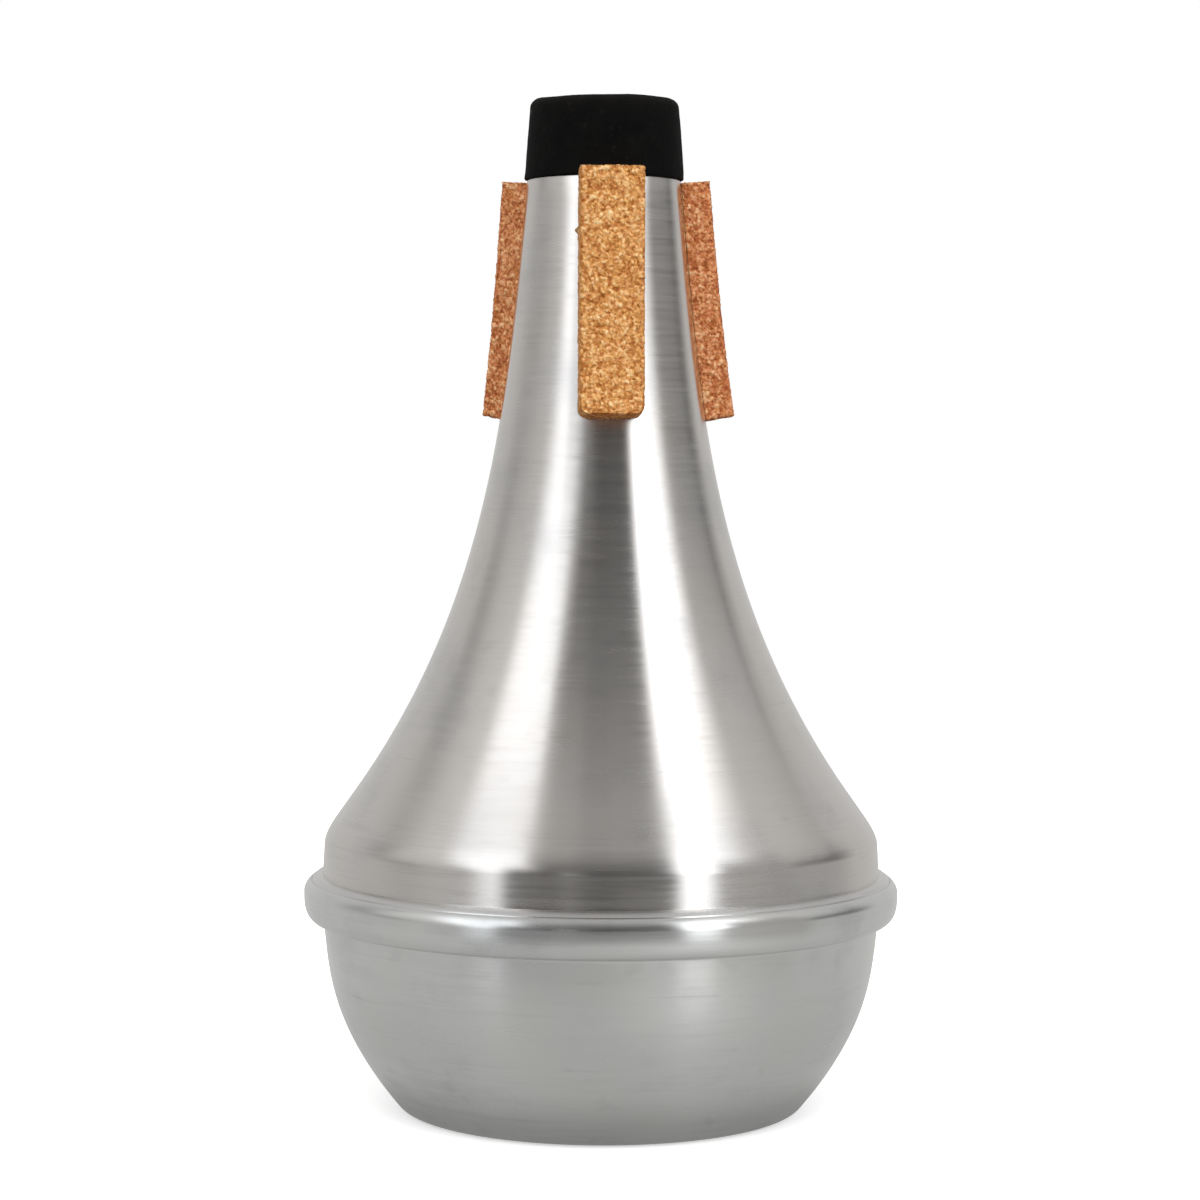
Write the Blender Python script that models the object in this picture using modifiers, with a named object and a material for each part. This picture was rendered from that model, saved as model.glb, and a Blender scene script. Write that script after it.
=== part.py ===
"""Straight mute for a trumpet: a spun aluminium cone and a spun aluminium bowl
joined in a rolled bead, a black rubber ring on the open narrow end, and three
cork strips glued to the neck that hold the mute in the instrument's bell.

Metres, +Z up. The origin is the centre of the flat base, and +Z runs along the
turning axis towards the open end. The front cork strip faces -Y.
"""

import math

import bmesh
import bpy
from mathutils import Vector

MM = 0.001
SEGMENTS = 40  # facets around the turning axis, shared by every turned piece
GAP = 0.12 * MM  # clearance left between pieces that touch

# ---- overall
TOTAL_HEIGHT = 170.0 * MM
BEAD_DIAMETER = 100.0 * MM
SHEET = 1.0 * MM  # spun aluminium sheet

# ---- cone: outer profile, a single flare from the neck's end to the shoulder
NECK_END_R = 12.83 * MM
NECK_END_Z = 155.9 * MM
NECK_HANDLE = (3.17 * MM, 34.35 * MM)  # how far the neck runs almost straight
FLARE_END_R = 41.25 * MM
FLARE_END_Z = 53.8 * MM
FLARE_HANDLE = (23.27 * MM, 32.89 * MM)  # slope on which the flare meets the shoulder
SHOULDER_RADIUS = 4.5 * MM
SKIRT_R_AT_BEAD = 46.86 * MM
SKIRT_TAPER = 0.0557  # radius gained for each unit of drop

# ---- rolled bead
BEAD_TOP_Z = 39.5 * MM
BEAD_WIDEST_Z = 37.1 * MM
BEAD_BOTTOM_Z = 32.0 * MM
BEAD_TOP_POWER = 1.19  # 1 is an ellipse, above 1 is leaner
BEAD_BOTTOM_POWER = 0.67  # below 1 is fuller
# the cone's edge is flanged out over the top of the bead and turned down
# inside it, and the bowl's rim is curled up around that flange
FLANGE_END_ANGLE = 55.6  # where the flange dips, on the bead's upper curve
LIP_ANGLE = 43.6  # where the bowl's rolled lip ends, on the same curve
FLANGE_LEG_R = 48.72 * MM
FLANGE_BOTTOM_Z = 35.4 * MM

# ---- bowl
BOWL_RIM_R = 46.77 * MM
BOWL_RIM_HANDLE = (1.01 * MM, 8.33 * MM)
FOOT_CORNER_R = 34.39 * MM
FOOT_CORNER_Z = 1.06 * MM
FOOT_HANDLE = (11.59 * MM, 14.01 * MM)

# ---- rubber ring on the narrow end
RING_BOTTOM_Z = 156.2 * MM
RING_BOTTOM_R = 13.35 * MM
RING_TOP_R = 12.3 * MM
RING_TOP_RADIUS = 1.4 * MM
RING_BOTTOM_RADIUS = 0.3 * MM
RING_HOLE_R = 9.5 * MM
SPIGOT_R = 11.4 * MM
SPIGOT_BOTTOM_Z = 150.4 * MM

# ---- cork strips: name, azimuth at the top and at the bottom, top and bottom height
CORK_WIDTH = 10.45 * MM
CORK_OUTER = 4.9 * MM  # outer face above the metal
GLUE_FILM = 0.2 * MM
CORK_STRIPS = (
    ("front", -89.3, -90.3, 156.5 * MM, 115.9 * MM),
    ("right", 19.5, 16.0, 155.6 * MM, 115.75 * MM),
    ("left", 142.5, 139.0, 155.6 * MM, 115.75 * MM),
)
GLUE_INSET = 0.6 * MM  # the film stops short of the cork's edges

# ---- finishes: colour, roughness, metallic
ALUMINIUM_CONE = ((0.73, 0.72, 0.70), 0.32, 1.0)
ALUMINIUM_BOWL = ((0.66, 0.66, 0.65), 0.42, 1.0)
RUBBER = ((0.012, 0.011, 0.010), 0.85, 0.0)
CORK = ((0.60, 0.33, 0.12), 0.90, 0.0)
GLUE = ((0.62, 0.50, 0.28), 0.45, 0.0)


# ------------------------------------------------------------------ profiles
def bezier(p0, p1, p2, p3, count):
    """count + 1 points on a cubic curve."""
    points = []
    for i in range(count + 1):
        t = i / count
        a, b, c, d = (1 - t) ** 3, 3 * t * (1 - t) ** 2, 3 * t * t * (1 - t), t**3
        points.append(
            (
                a * p0[0] + b * p1[0] + c * p2[0] + d * p3[0],
                a * p0[1] + b * p1[1] + c * p2[1] + d * p3[1],
            )
        )
    return points


def rounded(before, corner, after, radius, count):
    """An arc of the given radius in place of a corner."""
    a = (Vector(before) - Vector(corner)).normalized()
    b = (Vector(after) - Vector(corner)).normalized()
    half = math.acos(max(-1.0, min(1.0, a.dot(b)))) / 2
    centre = Vector(corner) + (a + b).normalized() * (radius / math.sin(half))
    start = Vector(corner) + a * (radius / math.tan(half)) - centre
    end = Vector(corner) + b * (radius / math.tan(half)) - centre
    sweep = math.atan2(start.x * end.y - start.y * end.x, start.dot(end))
    points = []
    for i in range(count + 1):
        angle = sweep * i / count
        c, s = math.cos(angle), math.sin(angle)
        points.append(
            (
                centre.x + start.x * c - start.y * s,
                centre.y + start.x * s + start.y * c,
            )
        )
    return points


def meeting(p, p_direction, q, q_direction):
    """Where two lines cross."""
    det = p_direction[0] * -q_direction[1] + q_direction[0] * p_direction[1]
    dx, dy = q[0] - p[0], q[1] - p[1]
    t = (dx * -q_direction[1] + q_direction[0] * dy) / det
    return (p[0] + t * p_direction[0], p[1] + t * p_direction[1])


def offset(points, distance):
    """The polyline moved to the inside of the sheet, for one that runs down."""
    moved = []
    for i, (r, z) in enumerate(points):
        r0, z0 = points[max(i - 1, 0)]
        r1, z1 = points[min(i + 1, len(points) - 1)]
        length = math.hypot(r1 - r0, z1 - z0)
        moved.append(
            (r + distance * (z1 - z0) / length, z - distance * (r1 - r0) / length)
        )
    return moved


def flare(count):
    """The cone's outer surface from the neck's end down to the shoulder."""
    return bezier(
        (NECK_END_R, NECK_END_Z),
        (NECK_END_R + NECK_HANDLE[0], NECK_END_Z - NECK_HANDLE[1]),
        (FLARE_END_R - FLARE_HANDLE[0], FLARE_END_Z + FLARE_HANDLE[1]),
        (FLARE_END_R, FLARE_END_Z),
        count,
    )


def cone_outer(flare_count, corner_count):
    """The outer surface from the neck's end to the top of the bead."""
    curve = flare(flare_count)
    at_bead = (SKIRT_R_AT_BEAD, BEAD_TOP_Z)
    down = (FLARE_HANDLE[0], -FLARE_HANDLE[1])
    corner = meeting(curve[-1], down, at_bead, (SKIRT_TAPER, -1.0))
    return (
        curve
        + rounded(curve[-1], corner, at_bead, SHOULDER_RADIUS, corner_count)
        + [at_bead]
    )


def power_arc(centre, radii, power, start, end, count):
    """Part of a superellipse: angles in degrees from +r towards +z."""
    points = []
    for i in range(count + 1):
        a = math.radians(start + (end - start) * i / count)
        c, s = math.cos(a), math.sin(a)
        points.append(
            (
                centre[0] + radii[0] * math.copysign(abs(c) ** power, c),
                centre[1] + radii[1] * math.copysign(abs(s) ** power, s),
            )
        )
    return points


def flare_radius(z):
    """The cone's outer radius at a height on the neck or the flare."""
    curve = flare(400)
    for (r0, z0), (r1, z1) in zip(curve, curve[1:]):
        if z1 <= z <= z0:
            return r0 + (r1 - r0) * (z0 - z) / (z0 - z1)
    (r0, z0), (r1, z1) = curve[0], curve[1]
    return r0 + (r1 - r0) * (z0 - z) / (z0 - z1)


def flare_slope(z):
    """Change of that radius with height."""
    step = 0.5 * MM
    return (flare_radius(z + step) - flare_radius(z - step)) / (2 * step)


# ------------------------------------------------------------------- objects
def material(name, colour, roughness, metallic):
    made = bpy.data.materials.new(name)
    made.use_nodes = True
    shader = made.node_tree.nodes["Principled BSDF"]
    shader.inputs["Base Color"].default_value = (*colour, 1.0)
    shader.inputs["Roughness"].default_value = roughness
    shader.inputs["Metallic"].default_value = metallic
    made.diffuse_color = (*colour, 1.0)
    return made


def finish(obj, collection, finish_values, parent):
    collection.objects.link(obj)
    obj.parent = parent
    obj.data.materials.append(material(obj.name + "_finish", *finish_values))
    return obj


def turned(name, profile, closed, collection, finish_values, parent):
    """A profile in the XZ plane, turned about Z."""
    mesh = bpy.data.meshes.new(name)
    edges = [(i, i + 1) for i in range(len(profile) - 1)]
    if closed:
        edges.append((len(profile) - 1, 0))
    mesh.from_pydata([(r, 0.0, z) for r, z in profile], edges, [])
    obj = bpy.data.objects.new(name, mesh)
    screw = obj.modifiers.new("turn", "SCREW")
    screw.axis = "Z"
    screw.angle = 2 * math.pi
    screw.steps = SEGMENTS
    screw.render_steps = SEGMENTS
    screw.use_merge_vertices = True
    screw.merge_threshold = 0.00001
    screw.use_smooth_shade = True
    return finish(obj, collection, finish_values, parent)


def bent_block(name, place, cuts, collection, finish_values, parent):
    """A cube cut into a grid and bent: place(u, v, w) takes each coordinate
    from -0.5 to 0.5 around the neck, out from it, and down along it."""
    mesh = bpy.data.meshes.new(name)
    body = bmesh.new()
    bmesh.ops.create_cube(body, size=1.0)
    for axis, count in enumerate(cuts):
        if count:
            along = [
                e
                for e in body.edges
                if abs((e.verts[0].co - e.verts[1].co)[axis])
                > 0.9 * (e.verts[0].co - e.verts[1].co).length
            ]
            bmesh.ops.subdivide_edges(body, edges=along, cuts=count, use_grid_fill=True)
    for vertex in body.verts:
        vertex.co = place(*vertex.co)
    body.to_mesh(mesh)
    body.free()
    obj = bpy.data.objects.new(name, mesh)
    finish(obj, collection, finish_values, parent)
    for polygon in mesh.polygons:
        polygon.use_smooth = True
    mesh.set_sharp_from_angle(angle=math.radians(35))
    return obj


def on_neck(azimuth_top, azimuth_bottom, top, bottom, low, high, width, ring_relief):
    """A place() for a strip that hugs the neck. Its thickness runs along the
    metal's normal from low to high, and it is width wide all through."""

    def place(u, v, w):
        share = 0.5 - w  # 0 at the top, 1 at the bottom
        z = top + (bottom - top) * share
        slope = flare_slope(min(z, NECK_END_Z - 1 * MM))
        normal = Vector((1.0, -slope)).normalized()
        level = low + (high - low) * (v + 0.5)
        base = flare_radius(z)
        if ring_relief and v < 0 and z > NECK_END_Z - 0.6 * MM:
            # the back of the strip's end lies over the rubber ring's lower edge
            r, height = RING_BOTTOM_R + GAP, z
        else:
            r, height = base + normal.x * level, z + normal.y * level
        half = math.asin(width / 2 / r)  # the strip's sides are parallel
        azimuth = (
            math.radians(azimuth_top + (azimuth_bottom - azimuth_top) * share)
            - 2 * half * u
        )
        return Vector((r * math.cos(azimuth), r * math.sin(azimuth), height))

    return place


# -------------------------------------------------------------------- pieces
def bead_upper(start, end, count):
    """Points on the bead's upper curve, between two of its angles."""
    return power_arc(
        (SKIRT_R_AT_BEAD, BEAD_WIDEST_Z),
        (BEAD_DIAMETER / 2 - SKIRT_R_AT_BEAD, BEAD_TOP_Z - BEAD_WIDEST_Z),
        BEAD_TOP_POWER,
        start,
        end,
        count,
    )


def build_cone(collection, parent):
    outer = cone_outer(15, 3)
    inner = offset(outer, SHEET)[:-1]
    wall_r, leg_r = SKIRT_R_AT_BEAD - SHEET, FLANGE_LEG_R - SHEET
    under, under_end = BEAD_TOP_Z - 0.95 * SHEET, BEAD_TOP_Z - 1.5 * SHEET
    flange = bead_upper(90, FLANGE_END_ANGLE, 3)[1:] + [
        (FLANGE_LEG_R, BEAD_WIDEST_Z + 0.3 * MM),
        (FLANGE_LEG_R, FLANGE_BOTTOM_Z),
    ]
    underside = (
        rounded(inner[-1], (wall_r, under), (leg_r, under_end), 0.6 * MM, 2)
        + rounded(
            (wall_r, under), (leg_r, under_end), (leg_r, FLANGE_BOTTOM_Z), 0.4 * MM, 2
        )
        + [(leg_r, FLANGE_BOTTOM_Z)]
    )
    profile = outer + flange + list(reversed(inner + underside))
    return turned("cone_shell", profile, True, collection, ALUMINIUM_CONE, parent)


def build_bowl(collection, parent):
    widest = BEAD_DIAMETER / 2
    bead_top = bead_upper(LIP_ANGLE, 0, 4)
    bead_bottom = power_arc(
        (BOWL_RIM_R, BEAD_WIDEST_Z),
        (widest - BOWL_RIM_R, BEAD_WIDEST_Z - BEAD_BOTTOM_Z),
        BEAD_BOTTOM_POWER,
        0,
        -90,
        6,
    )[1:]
    wall = bezier(
        (BOWL_RIM_R, BEAD_BOTTOM_Z),
        (BOWL_RIM_R - BOWL_RIM_HANDLE[0], BEAD_BOTTOM_Z - BOWL_RIM_HANDLE[1]),
        (FOOT_CORNER_R + FOOT_HANDLE[0], FOOT_CORNER_Z + FOOT_HANDLE[1]),
        (FOOT_CORNER_R, FOOT_CORNER_Z),
        8,
    )[1:]
    down = (-FOOT_HANDLE[0], -FOOT_HANDLE[1])
    foot = meeting((FOOT_CORNER_R, FOOT_CORNER_Z), down, (0.0, 0.0), (1.0, 0.0))
    run = math.hypot(FOOT_CORNER_R - foot[0], FOOT_CORNER_Z)
    between = math.pi - math.acos((FOOT_CORNER_R - foot[0]) / run)  # wall and floor
    foot_arc = rounded(
        (FOOT_CORNER_R, FOOT_CORNER_Z),
        foot,
        (0.0, 0.0),
        run * math.tan(between / 2),
        3,
    )[1:]
    outer = bead_top + bead_bottom + wall + foot_arc + [(0.0, 0.0)]

    hollow_r = widest - SHEET
    floor_r = BOWL_RIM_R - 0.55 * MM
    hollow = power_arc(
        (floor_r, BEAD_WIDEST_Z),
        (hollow_r - floor_r, BEAD_WIDEST_Z - BEAD_BOTTOM_Z - SHEET),
        BEAD_BOTTOM_POWER,
        0,
        -90,
        5,
    )
    wall_inside = offset([(BOWL_RIM_R, BEAD_BOTTOM_Z)] + wall + foot_arc, SHEET)
    inner = hollow + wall_inside[:-1] + [(wall_inside[-1][0], SHEET)]
    profile = [(0.0, SHEET)] + list(reversed(inner)) + outer
    return turned("base_bowl", profile, False, collection, ALUMINIUM_BOWL, parent)


def build_ring(collection, parent):
    side_low = (RING_BOTTOM_R, RING_BOTTOM_Z)
    side_high = (RING_TOP_R, TOTAL_HEIGHT)
    hole_top = (RING_HOLE_R, TOTAL_HEIGHT)
    profile = (
        rounded(hole_top, side_high, side_low, RING_TOP_RADIUS, 4)
        + rounded(side_high, side_low, (SPIGOT_R, RING_BOTTOM_Z), RING_BOTTOM_RADIUS, 2)
        + [
            (SPIGOT_R, RING_BOTTOM_Z),
            (SPIGOT_R, SPIGOT_BOTTOM_Z),
            (RING_HOLE_R, SPIGOT_BOTTOM_Z),
            (RING_HOLE_R, TOTAL_HEIGHT - 0.6 * MM),
            (RING_HOLE_R + 0.6 * MM, TOTAL_HEIGHT),
        ]
    )
    return turned("tip_ring", profile, True, collection, RUBBER, parent)


def build_ring_glue(collection, parent):
    """Cement between the ring's spigot and the inside of the neck."""
    top, bottom = NECK_END_Z - 0.3 * MM, SPIGOT_BOTTOM_Z + 0.3 * MM
    inside = SPIGOT_R + GAP

    def neck_inside(z):
        return flare_radius(z) - SHEET * 1.01 - GAP

    profile = [
        (neck_inside(top), top),
        (neck_inside(bottom), bottom),
        (inside, bottom),
        (inside, top),
    ]
    return turned("tip_ring_glue", profile, True, collection, GLUE, parent)


def build_corks(collection, parent):
    film_low, film_high = GAP, GAP + GLUE_FILM
    cork_low = film_high + GAP
    for name, azimuth_top, azimuth_bottom, top, bottom in CORK_STRIPS:
        over_ring = top > RING_BOTTOM_Z
        bent_block(
            "cork_strip_" + name,
            on_neck(
                azimuth_top,
                azimuth_bottom,
                top,
                bottom,
                cork_low,
                CORK_OUTER,
                CORK_WIDTH,
                over_ring,
            ),
            (3, 0, 15 if over_ring else 7),
            collection,
            CORK,
            parent,
        )
        bent_block(
            "cork_glue_" + name,
            on_neck(
                azimuth_top,
                azimuth_bottom,
                min(top, NECK_END_Z) - GLUE_INSET,
                bottom + GLUE_INSET,
                film_low,
                film_high,
                CORK_WIDTH - 2 * GLUE_INSET,
                False,
            ),
            (3, 0, 7),
            collection,
            GLUE,
            parent,
        )


def main():
    for obj in list(bpy.data.objects):
        bpy.data.objects.remove(obj, do_unlink=True)
    scene = bpy.context.scene
    collection = bpy.data.collections.new("trumpet_straight_mute")
    scene.collection.children.link(collection)
    base = bpy.data.objects.new("mute_base", None)
    base.empty_display_size = 0.02
    collection.objects.link(base)

    build_cone(collection, base)
    build_bowl(collection, base)
    build_ring(collection, base)
    build_ring_glue(collection, base)
    build_corks(collection, base)


main()
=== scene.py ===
"""Looks of the straight mute: spun aluminium cone and bowl, black rubber ring,
cork strips and the cement under them, on a pale floor in a soft studio.

Profiles are in millimetres here, (radius, height), and are scaled to metres
when a mesh is made.
"""

import math

import bpy
import numpy as np
from mathutils import Matrix, Vector


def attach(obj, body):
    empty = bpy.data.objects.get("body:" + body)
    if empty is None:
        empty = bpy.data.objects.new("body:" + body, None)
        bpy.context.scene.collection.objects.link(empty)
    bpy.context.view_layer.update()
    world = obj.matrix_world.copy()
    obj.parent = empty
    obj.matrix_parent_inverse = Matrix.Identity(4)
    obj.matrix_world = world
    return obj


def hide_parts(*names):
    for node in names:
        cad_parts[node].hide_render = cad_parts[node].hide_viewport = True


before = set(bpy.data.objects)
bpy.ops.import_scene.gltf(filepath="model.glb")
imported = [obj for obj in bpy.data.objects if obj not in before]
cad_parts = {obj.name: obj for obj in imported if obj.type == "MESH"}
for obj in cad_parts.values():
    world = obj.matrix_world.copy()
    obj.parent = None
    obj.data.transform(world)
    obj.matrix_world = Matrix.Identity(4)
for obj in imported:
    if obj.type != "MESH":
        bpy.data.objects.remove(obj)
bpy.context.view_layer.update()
scene = bpy.context.scene

MM = 0.001

# ---------------------------------------------------------------- dimensions
# the model's own, in millimetres
TOTAL_HEIGHT = 170.0
BEAD_R = 50.0
SHEET = 1.0
NECK_END = (12.83, 155.9)
NECK_HANDLE = (16.0, 121.55)
FLARE_HANDLE = (17.98, 86.69)
FLARE_END = (41.25, 53.8)
SKIRT_END = (46.86, 39.5)
SKIRT_TAPER = 0.0557
BEAD_WIDEST_Z = 36.85
BEAD_BOTTOM_Z = 32.0
BEAD_BOTTOM_POWER = 0.67
FLANGE_LEG_R = 48.72
FLANGE_TOP = ((46.90, 39.71), (48.62, 38.92))  # from the skirt to its edge
LIP_TIP = (48.72, 38.85)  # where the bowl's lip takes over
FLANGE_BOTTOM_Z = 35.4
BOWL_RIM_R = 46.77
FOOT_CORNER = (34.39, 1.06)
RING_BOTTOM_Z = 156.2
RING_BOTTOM_R = 13.35
RING_TOP_R = 12.3
RING_HOLE_R = 9.5
SPIGOT_R = 11.4
SPIGOT_BOTTOM_Z = 150.4
CORK_WIDTH = 10.45
CORK_OUTER = 4.9
CORK_STRIPS = (
    ("front", -89.3, -90.3, 156.5, 115.9),
    ("right", 19.5, 16.0, 155.6, 115.75),
    ("left", 142.5, 139.0, 155.6, 115.75),
)

# -------------------------------------------------------------------- camera
CAMERA_AZIMUTH = 4.4  # degrees to the left of the front cork strip
CAMERA_DISTANCE = 529.05
CAMERA_HEIGHT = 110.69
CAMERA_PITCH = 2.717
CAMERA_YAW = 0.037
CAMERA_ROLL = 0.247
CAMERA_LENS = 94.28


# ================================================================== geometry
def bezier(p0, p1, p2, p3, count):
    t = np.linspace(0.0, 1.0, count + 1)[:, None]
    p0, p1, p2, p3 = (np.array(p, float) for p in (p0, p1, p2, p3))
    return (
        (1 - t) ** 3 * p0
        + 3 * t * (1 - t) ** 2 * p1
        + 3 * t * t * (1 - t) * p2
        + t**3 * p3
    )


def arc_at(before, corner, after, radius, count):
    """Points of an arc that rounds a corner."""
    before, corner, after = (np.array(p, float) for p in (before, corner, after))
    a = (before - corner) / np.linalg.norm(before - corner)
    b = (after - corner) / np.linalg.norm(after - corner)
    half = math.acos(float(np.clip(a @ b, -1, 1))) / 2
    centre = corner + (a + b) / np.linalg.norm(a + b) * radius / math.sin(half)
    start = corner + a * radius / math.tan(half) - centre
    end = corner + b * radius / math.tan(half) - centre
    sweep = math.atan2(start[0] * end[1] - start[1] * end[0], start @ end)
    angle = np.linspace(0.0, sweep, count + 1)
    return np.stack(
        [
            centre[0] + start[0] * np.cos(angle) - start[1] * np.sin(angle),
            centre[1] + start[0] * np.sin(angle) + start[1] * np.cos(angle),
        ],
        1,
    )


def straight(a, b, count):
    """Points between a and b, neither of them included."""
    t = np.linspace(0.0, 1.0, count + 2)[1:-1, None]
    return np.array(a, float) * (1 - t) + np.array(b, float) * t


def crossing(p, p_direction, q, q_direction):
    m = np.array(
        [[p_direction[0], -q_direction[0]], [p_direction[1], -q_direction[1]]], float
    )
    t = np.linalg.solve(m, np.array(q, float) - np.array(p, float))
    return np.array(p, float) + t[0] * np.array(p_direction, float)


def power_arc(centre, radii, power, start, end, count):
    a = np.radians(np.linspace(start, end, count + 1))
    c, s = np.cos(a), np.sin(a)
    return np.stack(
        [
            centre[0] + radii[0] * np.sign(c) * np.abs(c) ** power,
            centre[1] + radii[1] * np.sign(s) * np.abs(s) ** power,
        ],
        1,
    )


def offset(points, distance):
    """The line moved to the inside of the sheet, for one that runs down."""
    d = np.gradient(points, axis=0)
    d /= np.linalg.norm(d, axis=1)[:, None]
    return np.stack(
        [points[:, 0] + distance * d[:, 1], points[:, 1] - distance * d[:, 0]], 1
    )


def run_of(profile):
    return np.concatenate(
        [[0.0], np.cumsum(np.linalg.norm(np.diff(profile, axis=0), axis=1))]
    )


def joined(*parts):
    points = np.concatenate([np.atleast_2d(np.array(p, float)) for p in parts])
    keep = np.concatenate(
        [[True], np.linalg.norm(np.diff(points, axis=0), axis=1) > 1e-4]
    )
    return points[keep]


def mesh_piece(name, points, faces, attributes=None, sharp=35.0):
    mesh = bpy.data.meshes.new(name)
    mesh.from_pydata((np.asarray(points) * MM).tolist(), [], faces)
    mesh.validate()
    for key, values in (attributes or {}).items():
        layer = mesh.attributes.new(key, "FLOAT", "POINT")
        layer.data.foreach_set("value", np.asarray(values, np.float32).ravel())
    mesh.shade_smooth()
    if sharp:
        mesh.set_sharp_from_angle(angle=math.radians(sharp))
    piece = bpy.data.objects.new(name, mesh)
    scene.collection.objects.link(piece)
    return piece


def lathe(name, profile, segments, closed, sharp=35.0, move=None):
    """Turns a profile that runs down its outer side. An open one starts and
    ends on the axis. move(points, angle) may shift the points of the turned
    surface a little."""
    profile = np.asarray(profile, float)
    caps = [] if closed else [0, len(profile) - 1]
    body = profile if closed else profile[1:-1]
    m = len(body)
    angle = np.arange(segments) * 2 * math.pi / segments
    r = np.broadcast_to(body[:, 0], (segments, m)).copy()
    z = np.broadcast_to(body[:, 1], (segments, m)).copy()
    if move is not None:
        r, z = move(r, z, angle[:, None])
    points = np.stack(
        [r * np.cos(angle)[:, None], r * np.sin(angle)[:, None], z], -1
    ).reshape(-1, 3)
    run = np.broadcast_to(run_of(body), (segments, m)).ravel()
    i = np.arange(segments)[:, None]
    j = np.arange(m if closed else m - 1)[None, :]
    i2, j2 = (i + 1) % segments, (j + 1) % m
    quads = np.stack(
        [
            (i * m + j),
            (i * m + j2),
            (i2 * m + j2),
            (i2 * m + j),
        ],
        -1,
    ).reshape(-1, 4)
    faces = quads.tolist()
    for cap in caps:
        centre = len(points)
        points = np.vstack([points, [[0.0, 0.0, profile[cap][1]]]])
        run = np.append(run, run_of(body)[0 if cap == 0 else -1])
        edge = 0 if cap == 0 else m - 1
        for k in range(segments):
            a, b = k * m + edge, ((k + 1) % segments) * m + edge
            faces.append([centre, a, b] if cap == 0 else [centre, b, a])
    return mesh_piece(name, points, faces, {"run_mm": run}, sharp)


# ------------------------------------------------------------------ profiles
flare_line = bezier(NECK_END, NECK_HANDLE, FLARE_HANDLE, FLARE_END, 190)
flare_direction = np.array(FLARE_END) - np.array(FLARE_HANDLE)
shoulder_corner = crossing(
    FLARE_END, flare_direction, SKIRT_END, (-SKIRT_TAPER, 1.0)
)
shoulder_start = shoulder_corner + (
    np.array(FLARE_END) - shoulder_corner
) / np.linalg.norm(np.array(FLARE_END) - shoulder_corner) * 3.2
shoulder_end = shoulder_corner + (
    np.array(SKIRT_END) - shoulder_corner
) / np.linalg.norm(np.array(SKIRT_END) - shoulder_corner) * 1.5
shoulder = bezier(
    shoulder_start,
    shoulder_start + (shoulder_corner - shoulder_start) * 0.62,
    shoulder_end + (shoulder_corner - shoulder_end) * 0.72,
    shoulder_end,
    34,
)


def flare_at(z):
    """Outer radius and its change with height, on the neck and the flare."""
    r = np.interp(-np.asarray(z, float), -flare_line[:, 1], flare_line[:, 0])
    above = np.maximum(np.asarray(z, float) - NECK_END[1], 0.0)
    slope = np.gradient(flare_line[:, 0]) / np.gradient(flare_line[:, 1])
    k = np.interp(-np.asarray(z, float), -flare_line[:, 1], slope)
    return r + k * above, k


def cone_profile():
    lip_inside = (NECK_END[0] - SHEET + 0.02, NECK_END[1])
    top = arc_at(
        lip_inside, NECK_END, flare_line[6], 0.25, 4
    )  # the cut end of the neck, eased
    # the sheet turns out in a crease and rolls over towards the seam
    skirt_low = (SKIRT_END[0] - SKIRT_TAPER * 0.36, SKIRT_END[1] + 0.36)
    bend = bezier(
        skirt_low,
        (SKIRT_END[0] - 0.01, FLANGE_TOP[0][1] + 0.03),
        (SKIRT_END[0] - 0.01, FLANGE_TOP[0][1]),
        FLANGE_TOP[0],
        8,
    )
    flat = bezier(
        FLANGE_TOP[0],
        (FLANGE_TOP[0][0] + 0.55, FLANGE_TOP[0][1] + 0.02),
        (FLANGE_TOP[1][0] - 0.57, FLANGE_TOP[1][1] + 0.54),
        FLANGE_TOP[1],
        16,
    )
    flange_edge = arc_at(
        flat[-2], flat[-1], (flat[-1][0] + 0.01, BEAD_WIDEST_Z), 0.08, 5
    )
    leg = [
        (flat[-1][0] + 0.085, flat[-1][1] - 0.16),
        (flat[-1][0] + 0.085, BEAD_WIDEST_Z + 0.9),
        (FLANGE_LEG_R, BEAD_WIDEST_Z - 0.2),
        (FLANGE_LEG_R, FLANGE_BOTTOM_Z + 0.15),
        (FLANGE_LEG_R - 0.15, FLANGE_BOTTOM_Z),
        (FLANGE_LEG_R - SHEET + 0.15, FLANGE_BOTTOM_Z),
        (FLANGE_LEG_R - SHEET, FLANGE_BOTTOM_Z + 0.15),
        (FLANGE_LEG_R - SHEET, FLANGE_BOTTOM_Z + 1.6),
        (FLANGE_LEG_R - SHEET - 0.12, FLANGE_BOTTOM_Z + 2.2),
        (FLANGE_LEG_R - SHEET - 0.55, FLANGE_BOTTOM_Z + 2.75),
        (FLANGE_LEG_R - SHEET - 1.2, FLANGE_BOTTOM_Z + 3.05),
        (SKIRT_END[0] - SHEET + 0.18, FLANGE_BOTTOM_Z + 3.2),
        (SKIRT_END[0] - SHEET, FLANGE_BOTTOM_Z + 3.7),
    ]
    outer = joined(
        top,
        flare_line[8:-1],
        shoulder,
        straight(shoulder[-1], bend[0], 16),
        bend,
        flat[1:-1],
        flange_edge,
        leg,
    )
    wall = joined(flare_line[::4], shoulder[2::4])
    inside = offset(wall, SHEET)[:-1]
    inside[0] = (lip_inside[0], NECK_END[1])
    return joined(outer, inside[::-1])


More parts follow.
